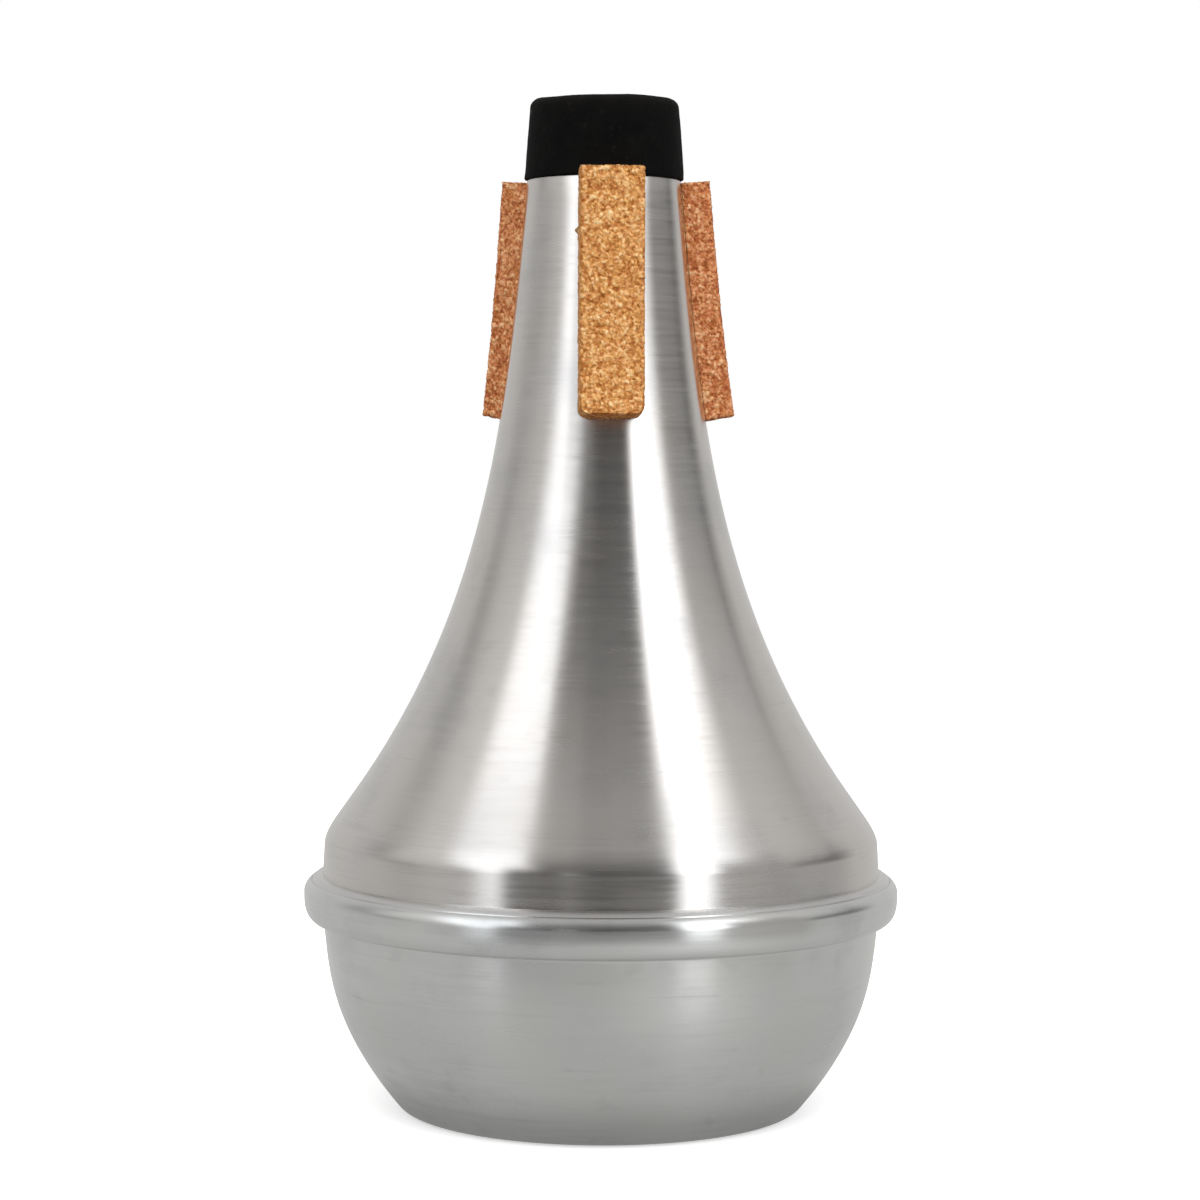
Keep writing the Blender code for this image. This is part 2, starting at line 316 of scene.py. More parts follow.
def bowl_profile():
    lip = bezier(LIP_TIP, (49.37, 38.52), (BEAD_R, 37.66), (BEAD_R, BEAD_WIDEST_Z), 30)
    tip = arc_at((lip[0][0] + 0.01, BEAD_WIDEST_Z), lip[0], lip[3], 0.08, 5)
    under = power_arc(
        (BOWL_RIM_R, BEAD_WIDEST_Z),
        (BEAD_R - BOWL_RIM_R, BEAD_WIDEST_Z - BEAD_BOTTOM_Z),
        BEAD_BOTTOM_POWER,
        0,
        -90,
        36,
    )
    wall = bezier(
        (BOWL_RIM_R, BEAD_BOTTOM_Z), (45.76, 23.67), (45.98, 15.07), FOOT_CORNER, 90
    )
    # a tight inner corner where the bead's underside meets the wall
    corner = arc_at(under[-4], under[-1], wall[4], 0.30, 6)
    down = np.array(FOOT_CORNER) - np.array((45.98, 15.07))
    foot = crossing(FOOT_CORNER, down, (0.0, 0.0), (1.0, 0.0))
    reach = np.linalg.norm(np.array(FOOT_CORNER) - foot)
    between = math.pi - math.acos((FOOT_CORNER[0] - foot[0]) / reach)
    foot_arc = arc_at(FOOT_CORNER, foot, (0.0, 0.0), reach * math.tan(between / 2), 14)
    floor = [(r, 0.0) for r in np.linspace(foot_arc[-1][0], 0.4, 42)[1:]]
    outer = joined(tip, lip[2:], under[1:-4], corner, wall[2:-1], foot_arc, floor)

    hollow = power_arc(
        (BOWL_RIM_R - 0.55, BEAD_WIDEST_Z),
        (BEAD_R - SHEET - BOWL_RIM_R + 0.55, BEAD_WIDEST_Z - BEAD_BOTTOM_Z - SHEET),
        BEAD_BOTTOM_POWER,
        0,
        -90,
        12,
    )
    inside = offset(joined(wall[6::6], foot_arc[::3]), SHEET)
    inside[-1] = (inside[-1][0], SHEET)
    inner = joined(
        (tip[0][0] + 0.005, BEAD_WIDEST_Z + 0.9),
        (BEAD_R - SHEET, BEAD_WIDEST_Z - 0.3),
        hollow[1:],
        inside,
    )
    floor_in = [(r, SHEET) for r in np.linspace(inside[-1][0], 0.4, 12)[1:]]
    inner = joined(inner, floor_in)
    return joined((0.0, SHEET), inner[::-1], outer, (0.0, 0.0))


# ==================================================================== shaders
class Graph:
    """Short names for building a node tree. A value is a number or a socket."""

    def __init__(self, tree):
        self.tree, self.nodes, self.links = tree, tree.nodes, tree.links

    def node(self, kind, **settings):
        made = self.nodes.new(kind)
        for key, value in settings.items():
            setattr(made, key, value)
        return made

    def put(self, socket, value):
        if isinstance(value, bpy.types.NodeSocket):
            self.links.new(value, socket)
        elif value is not None:
            socket.default_value = value

    def math(self, operation, a, b=None, c=None, clamp=False):
        made = self.node("ShaderNodeMath", operation=operation, use_clamp=clamp)
        for socket, value in zip(made.inputs, (a, b, c)):
            self.put(socket, value)
        return made.outputs[0]

    def add(self, a, b):
        return self.math("ADD", a, b)

    def sub(self, a, b):
        return self.math("SUBTRACT", a, b)

    def mul(self, a, b):
        return self.math("MULTIPLY", a, b)

    def mix(self, a, b, factor):
        """a where the factor is 0, b where it is 1."""
        return self.add(self.mul(a, self.sub(1.0, factor)), self.mul(b, factor))

    def ramp(self, value, low, high, to_low=0.0, to_high=1.0, kind="SMOOTHSTEP"):
        made = self.node("ShaderNodeMapRange", interpolation_type=kind, clamp=True)
        for socket, v in zip(made.inputs[:5], (value, low, high, to_low, to_high)):
            self.put(socket, v)
        return made.outputs[0]

    def dot(self, vector, constant):
        made = self.node("ShaderNodeVectorMath", operation="DOT_PRODUCT")
        self.put(made.inputs[0], vector)
        self.put(made.inputs[1], tuple(float(x) for x in constant))
        return made.outputs["Value"]

    def scaled(self, vector, scale):
        made = self.node("ShaderNodeVectorMath", operation="MULTIPLY")
        self.put(made.inputs[0], vector)
        self.put(made.inputs[1], scale)
        return made.outputs[0]

    def shifted(self, vector, by):
        made = self.node("ShaderNodeVectorMath", operation="ADD")
        self.put(made.inputs[0], vector)
        self.put(made.inputs[1], by)
        return made.outputs[0]

    def vector(self, x, y, z):
        made = self.node("ShaderNodeCombineXYZ")
        for socket, value in zip(made.inputs, (x, y, z)):
            self.put(socket, value)
        return made.outputs[0]

    def parts(self, vector):
        made = self.node("ShaderNodeSeparateXYZ")
        self.put(made.inputs[0], vector)
        return made.outputs

    def noise(self, vector, scale, detail=2.0, roughness=0.5, distortion=0.0):
        made = self.node("ShaderNodeTexNoise")
        self.put(made.inputs["Vector"], vector)
        self.put(made.inputs["Scale"], scale)
        self.put(made.inputs["Detail"], detail)
        self.put(made.inputs["Roughness"], roughness)
        self.put(made.inputs["Distortion"], distortion)
        return made.outputs[0]

    def voronoi(self, vector, scale, feature="F1", randomness=1.0):
        made = self.node("ShaderNodeTexVoronoi", feature=feature)
        self.put(made.inputs["Vector"], vector)
        self.put(made.inputs["Scale"], scale)
        self.put(made.inputs["Randomness"], randomness)
        return made.outputs

    def colour_ramp(self, value, stops, kind="LINEAR"):
        made = self.node("ShaderNodeValToRGB")
        made.color_ramp.interpolation = kind
        elements = made.color_ramp.elements
        while len(elements) < len(stops):
            elements.new(0.5)
        for element, (position, colour) in zip(elements, stops):
            element.position = position
            element.color = (*colour, 1.0)
        self.put(made.inputs[0], value)
        return made.outputs[0]

    def mix_colour(self, a, b, factor, blend="MIX"):
        made = self.node("ShaderNodeMix", data_type="RGBA", blend_type=blend)
        self.put(made.inputs[0], factor)
        self.put(made.inputs[6], a if not isinstance(a, tuple) else (*a, 1.0))
        self.put(made.inputs[7], b if not isinstance(b, tuple) else (*b, 1.0))
        return made.outputs[2]

    def bump(self, height, distance, strength=1.0, normal=None):
        made = self.node("ShaderNodeBump")
        self.put(made.inputs["Strength"], strength)
        self.put(made.inputs["Distance"], distance)
        self.put(made.inputs["Height"], height)
        if normal is not None:
            self.put(made.inputs["Normal"], normal)
        return made.outputs[0]


def new_material(name):
    made = bpy.data.materials.new(name)
    made.use_nodes = True
    shader = made.node_tree.nodes["Principled BSDF"]
    return made, Graph(made.node_tree), shader


def spun_metal(name, tone, roughness, seed, marks, flange=False):
    """Satin aluminium with fine lines around the turning axis. run_mm is the
    way along the profile, so the lines lie close together on every slope."""
    made, g, shader = new_material(name)
    run = g.node("ShaderNodeAttribute", attribute_name="run_mm").outputs["Fac"]
    place = g.node("ShaderNodeTexCoord").outputs["Object"]
    x, y, z = g.parts(place)
    around = g.math("ARCTAN2", y, x)
    # on the slim neck the lines stay as long as on the wide part
    wide = g.ramp(g.math("SQRT", g.add(g.mul(x, x), g.mul(y, y))), 0.0, 0.034)
    ca = g.mul(g.math("COSINE", around), wide)
    sa = g.mul(g.math("SINE", around), wide)

    def lines(per_mm, around_scale, shift, detail=1.0):
        return g.noise(
            g.vector(
                g.add(g.mul(run, per_mm), shift + seed),
                g.mul(ca, around_scale),
                g.mul(sa, around_scale),
            ),
            1.0,
            detail,
            0.55,
        )

    fine = lines(2.7, 4.0, 3.1, 2.0)
    medium = lines(1.1, 2.6, 17.3)
    broad = lines(0.30, 0.5, 41.7)
    scratch = lines(1.6, 1.8, 63.9)
    streak = lines(0.55, 3.2, 91.3, 3.0)
    cloud = g.noise(g.shifted(place, (seed * 0.01, 0.0, 0.0)), 55.0, 3.0, 0.5)
    # the short straight skirt was brushed again and shows coarser lines
    skirt = g.mul(g.ramp(z, 0.0388, 0.0405), g.ramp(z, 0.0505, 0.0530, 1.0, 0.0))

    # colour: a warm grey, a little lighter and darker from line to line
    value = g.add(
        1.0,
        g.add(
            g.mul(g.sub(fine, 0.5), g.mix(0.10, 0.18, skirt)),
            g.add(
                g.mul(g.sub(medium, 0.5), g.mix(0.08, 0.15, skirt)),
                g.mul(g.sub(broad, 0.5), 0.07),
            ),
        ),
    )
    value = g.add(value, g.mul(g.sub(streak, 0.5), 0.09 * marks))
    thin = g.ramp(scratch, 0.70, 0.80)
    value = g.sub(value, g.mul(thin, 0.05 * marks))
    value = g.sub(value, g.mul(g.ramp(cloud, 0.50, 0.75), 0.08 * marks))
    # small smudges where fingers and cloths have been
    smudge = g.noise(g.shifted(place, (0.2, seed * 0.01, 0.1)), 165.0, 2.0, 0.5)
    value = g.sub(value, g.mul(g.ramp(smudge, 0.60, 0.74), 0.045 * marks))
    tint = g.colour_ramp(
        cloud,
        (
            (0.35, (tone[0] * 1.0, tone[1] * 0.995, tone[2] * 0.985)),
            (0.65, (tone[0] * 0.99, tone[1] * 1.0, tone[2] * 1.01)),
        ),
    )
    if flange:
        near = g.ramp(z, 0.0393, 0.0400, 1.0, 0.0)
        tint = g.mix_colour(tint, (0.672, 0.668, 0.664), near)
    colour = g.mix_colour((0.0, 0.0, 0.0), tint, value)
    g.put(shader.inputs["Base Color"], colour)

    rough = g.add(
        roughness,
        g.add(
            g.add(
                g.mul(g.sub(fine, 0.5), 0.06),
                g.mul(g.sub(medium, 0.5), 0.10 if flange else 0.06),
            ),
            g.add(
                g.mul(g.sub(broad, 0.5), 0.05),
                g.mul(g.ramp(cloud, 0.5, 0.8), 0.06 * marks),
            ),
        ),
    )
    g.put(shader.inputs["Roughness"], rough)
    shader.inputs["Metallic"].default_value = 1.0
    shader.inputs["Anisotropic"].default_value = 0.89
    shader.inputs["Anisotropic Rotation"].default_value = 0.25
    tangent = g.node("ShaderNodeTangent", direction_type="RADIAL", axis="Z")
    g.put(shader.inputs["Tangent"], tangent.outputs[0])

    height = g.add(
        g.mul(fine, 0.50), g.add(g.mul(medium, 0.5), g.mul(thin, -0.25 * marks))
    )
    normal = g.bump(height, 0.0000013, 1.0)
    g.put(shader.inputs["Normal"], normal)
    return made


# ===================================================================== pieces
def cone_piece():
    piece = lathe("cone_metal", cone_profile(), 288, True, 32)
    piece.data.materials.append(
        spun_metal("cone_spun", (0.685, 0.660, 0.636), 0.250, 0.0, 1.0, True)
    )
    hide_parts("cone_shell")
    return piece


def bowl_piece():
    piece = lathe("bowl_metal", bowl_profile(), 288, False, 32)
    piece.data.materials.append(
        spun_metal("bowl_spun", (0.700, 0.702, 0.690), 0.250, 7.7, 1.2)
    )
    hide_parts("base_bowl")
    return piece


# ---------------------------------------------------------------- rubber ring
def value_noise(points, cell, seed):
    """Smooth noise from 0 to 1 at points in 3-D, cell across."""
    q = np.asarray(points, float) / cell
    base = np.floor(q).astype(np.int64)
    f = q - base
    f = f * f * (3 - 2 * f)
    total = np.zeros(len(q))
    for dx in (0, 1):
        for dy in (0, 1):
            for dz in (0, 1):
                c = base + (dx, dy, dz)
                h = (
                    c[:, 0] * 374761393
                    + c[:, 1] * 668265263
                    + c[:, 2] * 2147483647
                    + seed * 1274126177
                ) & 0xFFFFFFFF
                h = ((h ^ (h >> 13)) * 1274126177) & 0xFFFFFFFF
                h = (h ^ (h >> 16)) & 0xFFFFFF
                w = (
                    np.where(dx, f[:, 0], 1 - f[:, 0])
                    * np.where(dy, f[:, 1], 1 - f[:, 1])
                    * np.where(dz, f[:, 2], 1 - f[:, 2])
                )
                total += w * h / 0xFFFFFF
    return total


def ring_piece():
    top, bottom = TOTAL_HEIGHT, NECK_END[1] + 0.06
    side_low, side_high = (RING_BOTTOM_R, bottom), (RING_TOP_R, top)
    hole = (RING_HOLE_R, top)
    rim = arc_at(hole, side_high, side_low, 1.8, 12)
    low = arc_at(side_high, side_low, (SPIGOT_R, bottom), 0.20, 5)
    mouth = arc_at((RING_HOLE_R, SPIGOT_BOTTOM_Z), hole, side_high, 0.6, 6)
    profile = joined(
        straight(mouth[-1], rim[0], 5),
        rim,
        straight(rim[-1], low[0], 44),
        low,
        straight(low[-1], (SPIGOT_R, bottom), 3),
        (SPIGOT_R, bottom),
        (SPIGOT_R, bottom - 0.3),
        (SPIGOT_R, SPIGOT_BOTTOM_Z),
        (RING_HOLE_R, SPIGOT_BOTTOM_Z),
        straight((RING_HOLE_R, SPIGOT_BOTTOM_Z), mouth[0], 46),
        mouth,
    )

    def uneven(r, z, angle):
        # hand-cut rubber: the top wanders, and the skin is finely pitted
        top_share = np.clip((z - (TOTAL_HEIGHT - 6.0)) / 6.0, 0, 1)
        wave = (
            0.05 * np.sin(2 * angle + 0.7)
            + 0.04 * np.sin(3 * angle + 2.1)
            + 0.03 * np.sin(7 * angle + 0.4)
        )
        # the top was cut a little out of square, low towards the camera
        facing = np.cos(angle - math.radians(-90 - CAMERA_AZIMUTH))
        z = z - top_share * (0.50 + 0.42 * facing + wave)
        r = r - top_share * 0.05 * np.sin(5 * angle + 1.0)
        # the outside is slightly full
        belly = np.sin(np.pi * np.clip((z - NECK_END[1]) / 14.0, 0, 1))
        r = r + 0.03 * belly * (r > RING_HOLE_R + 1.5)
        # and it sits a touch off the axis
        above = np.clip((z - NECK_END[1]) / 1.5, 0, 1)
        r = r + above * 0.10 * np.cos(angle + math.radians(CAMERA_AZIMUTH))
        x, y = r * np.cos(angle), r * np.sin(angle)
        p = np.stack([x, y, z], -1).reshape(-1, 3)
        skin = (z > NECK_END[1]).astype(float)
        grain = (
            0.5 * value_noise(p, 0.55, 3)
            + 0.3 * value_noise(p, 0.28, 5)
            + 0.4 * value_noise(p, 1.7, 9)
        ).reshape(r.shape) - 0.6
        r = r + skin * grain * 0.085
        z = z + skin * top_share * grain * 0.06
        return r, z

    piece = lathe("ring_rubber", profile, 300, True, 50, uneven)
    made, g, shader = new_material("ring_black_rubber")
    place = g.node("ShaderNodeTexCoord").outputs["Object"]
    pores = g.voronoi(place, 2100.0)[0]
    grain = g.noise(place, 1500.0, 4.0, 0.6)
    patch = g.noise(place, 260.0, 3.0, 0.55)
    dust = g.noise(g.shifted(place, (0.31, 0.07, 0.0)), 900.0, 3.0, 0.6)
    x, y, z = g.parts(place)
    near_top = g.ramp(z, 0.1655, 0.1700)
    dusty = g.mul(g.ramp(dust, 0.60, 0.72), g.add(0.25, g.mul(near_top, 0.75)))
    base = g.colour_ramp(
        patch, ((0.3, (0.0022, 0.0021, 0.0021)), (0.75, (0.0042, 0.0040, 0.0037)))
    )
    base = g.mix_colour(base, (0.034, 0.026, 0.015), g.mul(dusty, 0.55))
    # lighter and a little browner towards the top
    base = g.mix_colour(base, (0.011, 0.0105, 0.0085), g.mul(near_top, 0.40))
    # a few brown crumbs of cork stuck in the pores
    crumbs = g.voronoi(g.shifted(place, (0.003, 0.001, 0.0)), 430.0)
    crumb = g.mul(
        g.ramp(crumbs[0], 0.10, 0.17, 1.0, 0.0),
        g.math("GREATER_THAN", g.parts(crumbs[1])[0], 0.86),
    )
    base = g.mix_colour(base, (0.085, 0.052, 0.024), g.mul(crumb, 0.8))
    g.put(shader.inputs["Base Color"], base)
    g.put(
        shader.inputs["Roughness"],
        g.add(0.78, g.mul(g.sub(grain, 0.5), 0.25)),
    )
    shader.inputs["Specular IOR Level"].default_value = 0.07
    height = g.add(g.mul(g.ramp(pores, 0.0, 0.45), 0.6), g.mul(grain, 0.7))
    g.put(shader.inputs["Normal"], g.bump(height, 0.00006, 0.9))
    piece.data.materials.append(made)
    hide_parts("tip_ring")
    return piece


# ----------------------------------------------------------------------- cork
class Grains:
    """Cork granules: jittered seeds on a grid, each with its own random
    numbers, and for any point the nearest seed and how near a border is."""

    def __init__(self, cell, seed):
        self.cell, self.seed = cell, seed

    def _hash(self, c, k):
        h = (
            c[..., 0] * 73856093
            ^ c[..., 1] * 19349663
            ^ c[..., 2] * 83492791
            ^ (self.seed * 7919 + k * 104729)
        ) & 0xFFFFFFFF
        h = ((h ^ (h >> 15)) * 2246822519) & 0xFFFFFFFF
        h = ((h ^ (h >> 13)) * 3266489917) & 0xFFFFFFFF
        return ((h ^ (h >> 16)) & 0xFFFFFF) / 0xFFFFFF

    def at(self, points):
        q = np.asarray(points, float) / self.cell
        base = np.floor(q).astype(np.int64)
        first = np.full(len(q), 1e9)
        second = np.full(len(q), 1e9)
        owner = np.zeros((len(q), 3), np.int64)
        for dx in (-1, 0, 1):
            for dy in (-1, 0, 1):
                for dz in (-1, 0, 1):
                    c = base + (dx, dy, dz)
                    s = c + 0.5 + 0.9 * (
                        np.stack([self._hash(c, k) for k in (1, 2, 3)], -1) - 0.5
                    )
                    # granules differ in size
                    d = np.linalg.norm(q - s, axis=1) - 0.28 * (self._hash(c, 6) - 0.5)
                    nearer = d < first
                    second = np.where(nearer, first, np.minimum(second, d))
                    owner[nearer] = c[nearer]
                    first = np.where(nearer, d, first)
        return (
            self._hash(owner, 4),
            self._hash(owner, 5),
            np.clip(second - first, 0, 1),
        )


def strip_frame(azimuth_top, azimuth_bottom, top, bottom, x, level, share):
    """A point of a strip on the neck: x across it in mm, level above the
    metal, share from 0 at the top to 1 at the bottom."""
    z = top + (bottom - top) * share
    r, k = flare_at(np.minimum(z, NECK_END[1] - 1))
    r = np.where(z > NECK_END[1] - 1, r + k * (z - (NECK_END[1] - 1)), r)
    length = np.sqrt(1 + k * k)
    radius = r + level / length
    height = z - level * k / length
    phi = np.radians(azimuth_top + (azimuth_bottom - azimuth_top) * share)
    # the sides are parallel, so the angle follows from the radius
    turn = np.arcsin(np.clip(x / radius, -0.95, 0.95))
    return np.stack(
        [radius * np.cos(phi + turn), radius * np.sin(phi + turn), height], -1
    )


def cork_block(
    name, azimuth_top, azimuth_bottom, top, bottom, seed, corner, over_ring, fuller, cut_side_shade
):
    """A closed block with a fine grid on every face, bent round the neck."""
    across, thick, long = 64, 28, 232
    length = math.hypot(top - bottom, 4.0)
    us, vs, ws = (
        np.linspace(-0.5, 0.5, across + 1),
        np.linspace(0.0, 1.0, thick + 1),
        np.linspace(0.0, 1.0, long + 1),
    )
    # number the surface nodes of the grid
    number = -np.ones((across + 1, thick + 1, long + 1), np.int64)
    shell = np.zeros_like(number, bool)
    shell[0], shell[-1] = True, True
    shell[:, 0], shell[:, -1] = True, True
    shell[:, :, 0], shell[:, :, -1] = True, True
    number[shell] = np.arange(shell.sum())
    iu, iv, iw = np.nonzero(shell)
    u, v, w = us[iu], vs[iv], ws[iw]

    def side(a):
        """Quads of a 2-D array of numbers."""
        return np.stack([a[:-1, :-1], a[1:, :-1], a[1:, 1:], a[:-1, 1:]], -1).reshape(
            -1, 4
        )

    quads = np.concatenate(
        [
            side(number[:, -1, :]),
            side(number[:, 0, :])[:, ::-1],
            side(number[-1, :, :])[:, ::-1],
            side(number[0, :, :]),
            side(number[:, :, 0])[:, ::-1],
            side(number[:, :, -1]),
        ]
    )
    x = u * CORK_WIDTH
    y = w * length  # down the strip
    # rounded corners at the lower end, seen from outside
    if corner > 0:
        over = np.clip(y - (length - corner), 0, corner)
        inset = corner - np.sqrt(np.maximum(corner**2 - over**2, 0))
        x = x * (1 - inset / (CORK_WIDTH / 2))
    low = 0.12
    share_down = np.clip(y / length, 0, 1)
    level = low + (CORK_OUTER + fuller[0] + fuller[1] * share_down - low) * v
    place = np.stack([x, level, y], -1)

    # small unevenness of the cut, then the granules' relief
    coarse = value_noise(place + (seed * 13.0, 0, 0), 3.5, seed) - 0.5
    fine = value_noise(place + (0, seed * 7.0, 0), 0.6, seed + 1) - 0.5
    big = Grains(0.68, seed)
    small = Grains(0.40, seed + 40)
    tone, hue, gap = big.at(place)
    tone2, hue2, gap2 = small.at(place)
    cracks = np.clip(1 - gap / 0.18, 0, 1)
    relief = (
        0.11 * (tone - 0.5)
        - 0.15 * (cracks - 0.30)
        + 0.06 * (tone2 - 0.5)
        - 0.05 * (np.clip(1 - gap2 / 0.2, 0, 1) - 0.30)
        + 0.08 * coarse
        + 0.04 * fine
    )
    out = (iv == thick).astype(float)
    left, right = (iu == 0).astype(float), (iu == across).astype(float)
    upper, lower = (iw == 0).astype(float), (iw == long).astype(float)
    # an edge is worn back a little, so it is neither sharp nor straight
    crowd = out + left + right + upper + lower
    soft = np.where(crowd > 1, 0.6, 1.0)
    wear = np.where(crowd > 1, 0.02 + 0.10 * np.clip(0.5 - tone, 0, 1), 0.0)
    push = relief * soft - wear
    level = level + out * push
    x = x + (right - left) * push
    y = y + (lower - upper) * push
    # pull the grid lines beside an edge in as well
    share = np.clip(y / length, -0.02, 1.02)
    if over_ring:
        z_here = top + (bottom - top) * share
        lift = np.clip((z_here - (NECK_END[1] - 0.4)) / 0.5, 0, 1)
        least = (RING_BOTTOM_R + 0.10) - flare_at(z_here)[0]
        level = np.where(iv < thick, np.maximum(level, lift * least * (1 - v) + level * v), level)
    points = strip_frame(azimuth_top, azimuth_bottom, top, bottom, x, level, share)
    mixed = 0.5 * tone + 0.5 * tone2
    border = np.maximum(
        np.clip(1 - gap / 0.17, 0, 1), 0.6 * np.clip(1 - gap2 / 0.19, 0, 1)
    )
    # painted shade: the outer face goes darker towards its long edges, and the cut sides and the lower end
    # are darker, where less light falls on them
    beside = np.clip((np.abs(u) - 0.5) * CORK_WIDTH / 0.55 + 1, 0, 1)
    edge_shade = np.maximum(np.where(iv == thick, 0.75 * beside**1.5, 0.0), (left + right) * cut_side_shade)
    edge_shade = np.maximum(edge_shade, lower * 1.0)
    return mesh_piece(
        name,
        points,
        quads.tolist(),
        {
            "grain": mixed,
            "grain_hue": 0.5 * hue + 0.5 * hue2,
            "grain_border": border,
            "painted_edge_shade": np.clip(edge_shade, 0, 1),
        },
        0,
    )


def cork_material(name, redder, seed):
    made, g, shader = new_material(name)
    place = g.node("ShaderNodeTexCoord").outputs["Object"]
    place = g.shifted(place, (seed * 0.013, seed * 0.007, 0.0))
    grain = g.node("ShaderNodeAttribute", attribute_name="grain").outputs["Fac"]
    hue = g.node("ShaderNodeAttribute", attribute_name="grain_hue").outputs["Fac"]
    border = g.node("ShaderNodeAttribute", attribute_name="grain_border").outputs["Fac"]
    edge_shade = g.node("ShaderNodeAttribute", attribute_name="painted_edge_shade").outputs["Fac"]
    mottle = g.noise(place, 1900.0, 3.0, 0.6)
    fibre = g.noise(place, 4600.0, 2.0, 0.6)
    drift = g.noise(place, 160.0, 2.0, 0.5)
    value = g.add(
        g.mul(grain, 0.92),
        g.add(g.mul(g.sub(mottle, 0.5), 1.15), g.mul(g.sub(fibre, 0.5), 0.30)),
    )
    value = g.add(value, g.mul(g.sub(drift, 0.5), 0.08))
    value = g.add(value, 0.10)
    warm = g.colour_ramp(
        value,
        (
            (0.02, (0.270, 0.078, 0.014)),
            (0.26, (0.470, 0.180, 0.040)),
            (0.50, (0.665, 0.308, 0.088)),
            (0.74, (0.835, 0.460, 0.172)),
            (0.98, (0.960, 0.680, 0.350)),
        ),
    )
    red = g.colour_ramp(
        value,
        (
            (0.02, (0.260, 0.054, 0.017)),
            (0.26, (0.440, 0.116, 0.040)),
            (0.50, (0.610, 0.198, 0.079)),
            (0.74, (0.775, 0.328, 0.150)),
            (0.98, (0.930, 0.535, 0.292)),
        ),
    )
    share = g.math(
        "ADD", redder, g.mul(g.sub(hue, 0.5), 0.7), clamp=True
    )
    colour = g.mix_colour(warm, red, share)
    dark = g.mul(border, g.ramp(mottle, 0.30, 0.62, 1.0, 0.35))
    colour = g.mix_colour(colour, (0.160, 0.048, 0.014), g.mul(dark, 0.70))
    specks = g.ramp(
        g.noise(g.shifted(place, (0.5, 0.2, 0.1)), 1100.0, 2.0, 0.5), 0.70, 0.76
    )
    colour = g.mix_colour(colour, (0.060, 0.018, 0.008), g.mul(specks, 0.65))
    # a few granules of pale, corky bark
    flecks = g.ramp(
        g.noise(g.shifted(place, (0.1, 0.4, 0.3)), 1500.0, 2.0, 0.5), 0.69, 0.75
    )
    colour = g.mix_colour(colour, (0.900, 0.640, 0.380), g.mul(flecks, 0.55))
    # painted shade: the strip's long edges, cut sides and lower end made darker and redder
    colour = g.mix_colour(colour, (0.66, 0.52, 0.42), edge_shade, "MULTIPLY")
    g.put(shader.inputs["Base Color"], colour)
    g.put(
        shader.inputs["Roughness"],
        g.ramp(grain, 0.0, 1.0, 0.90, 0.66, "LINEAR"),
    )
    shader.inputs["Specular IOR Level"].default_value = 0.16
    height = g.add(g.mul(mottle, 0.6), g.add(g.mul(fibre, 0.5), g.mul(border, -0.3)))
    g.put(shader.inputs["Normal"], g.bump(height, 0.00012, 0.8))
    return made


def cork_pieces():
    made = []
    # how red, seed, rounding of the lower corners, whether it laps the ring,
    # how much fuller than its drawing at the top and towards the bottom, and
    # how much painted shade its cut sides get
    looks = {
        "front": (0.12, 11, 1.5, True, (0.0, 0.0), 0.5),
        "right": (0.85, 23, 0.6, False, (0.18, 0.10), 0.0),
        "left": (0.80, 37, 0.4, False, (0.12, 0.18), 0.0),
    }
    for name, azimuth_top, azimuth_bottom, top, bottom in CORK_STRIPS:
        redder, seed, corner, over_ring, fuller, cut_side_shade = looks[name]
        piece = cork_block(
            "cork_" + name,
            azimuth_top,
            azimuth_bottom,
            top,
            bottom,
            seed,
            corner,
            over_ring,
            fuller,
            cut_side_shade,
        )
        piece.data.materials.append(cork_material("cork_face_" + name, redder, seed))
        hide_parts("cork_strip_" + name)
        made.append(piece)
    return made


def cement_material():
    made, g, shader = new_material("dried_cement")
    place = g.node("ShaderNodeTexCoord").outputs["Object"]
    patch = g.noise(place, 700.0, 3.0, 0.55)
    streak = g.noise(g.scaled(place, (1.0, 1.0, 0.25)), 1800.0, 2.0, 0.5)
    colour = g.colour_ramp(
        patch,
        (
            (0.30, (0.20, 0.105, 0.035)),
            (0.55, (0.36, 0.215, 0.080)),
            (0.80, (0.50, 0.345, 0.150)),
        ),
    )
    g.put(shader.inputs["Base Color"], colour)
    g.put(
        shader.inputs["Roughness"],
        g.ramp(streak, 0.3, 0.7, 0.30, 0.55, "LINEAR"),
    )
    shader.inputs["Specular IOR Level"].default_value = 0.5
    g.put(
        shader.inputs["Normal"],
        g.bump(g.add(patch, g.mul(streak, 0.5)), 0.00005, 0.8),
    )
    return made


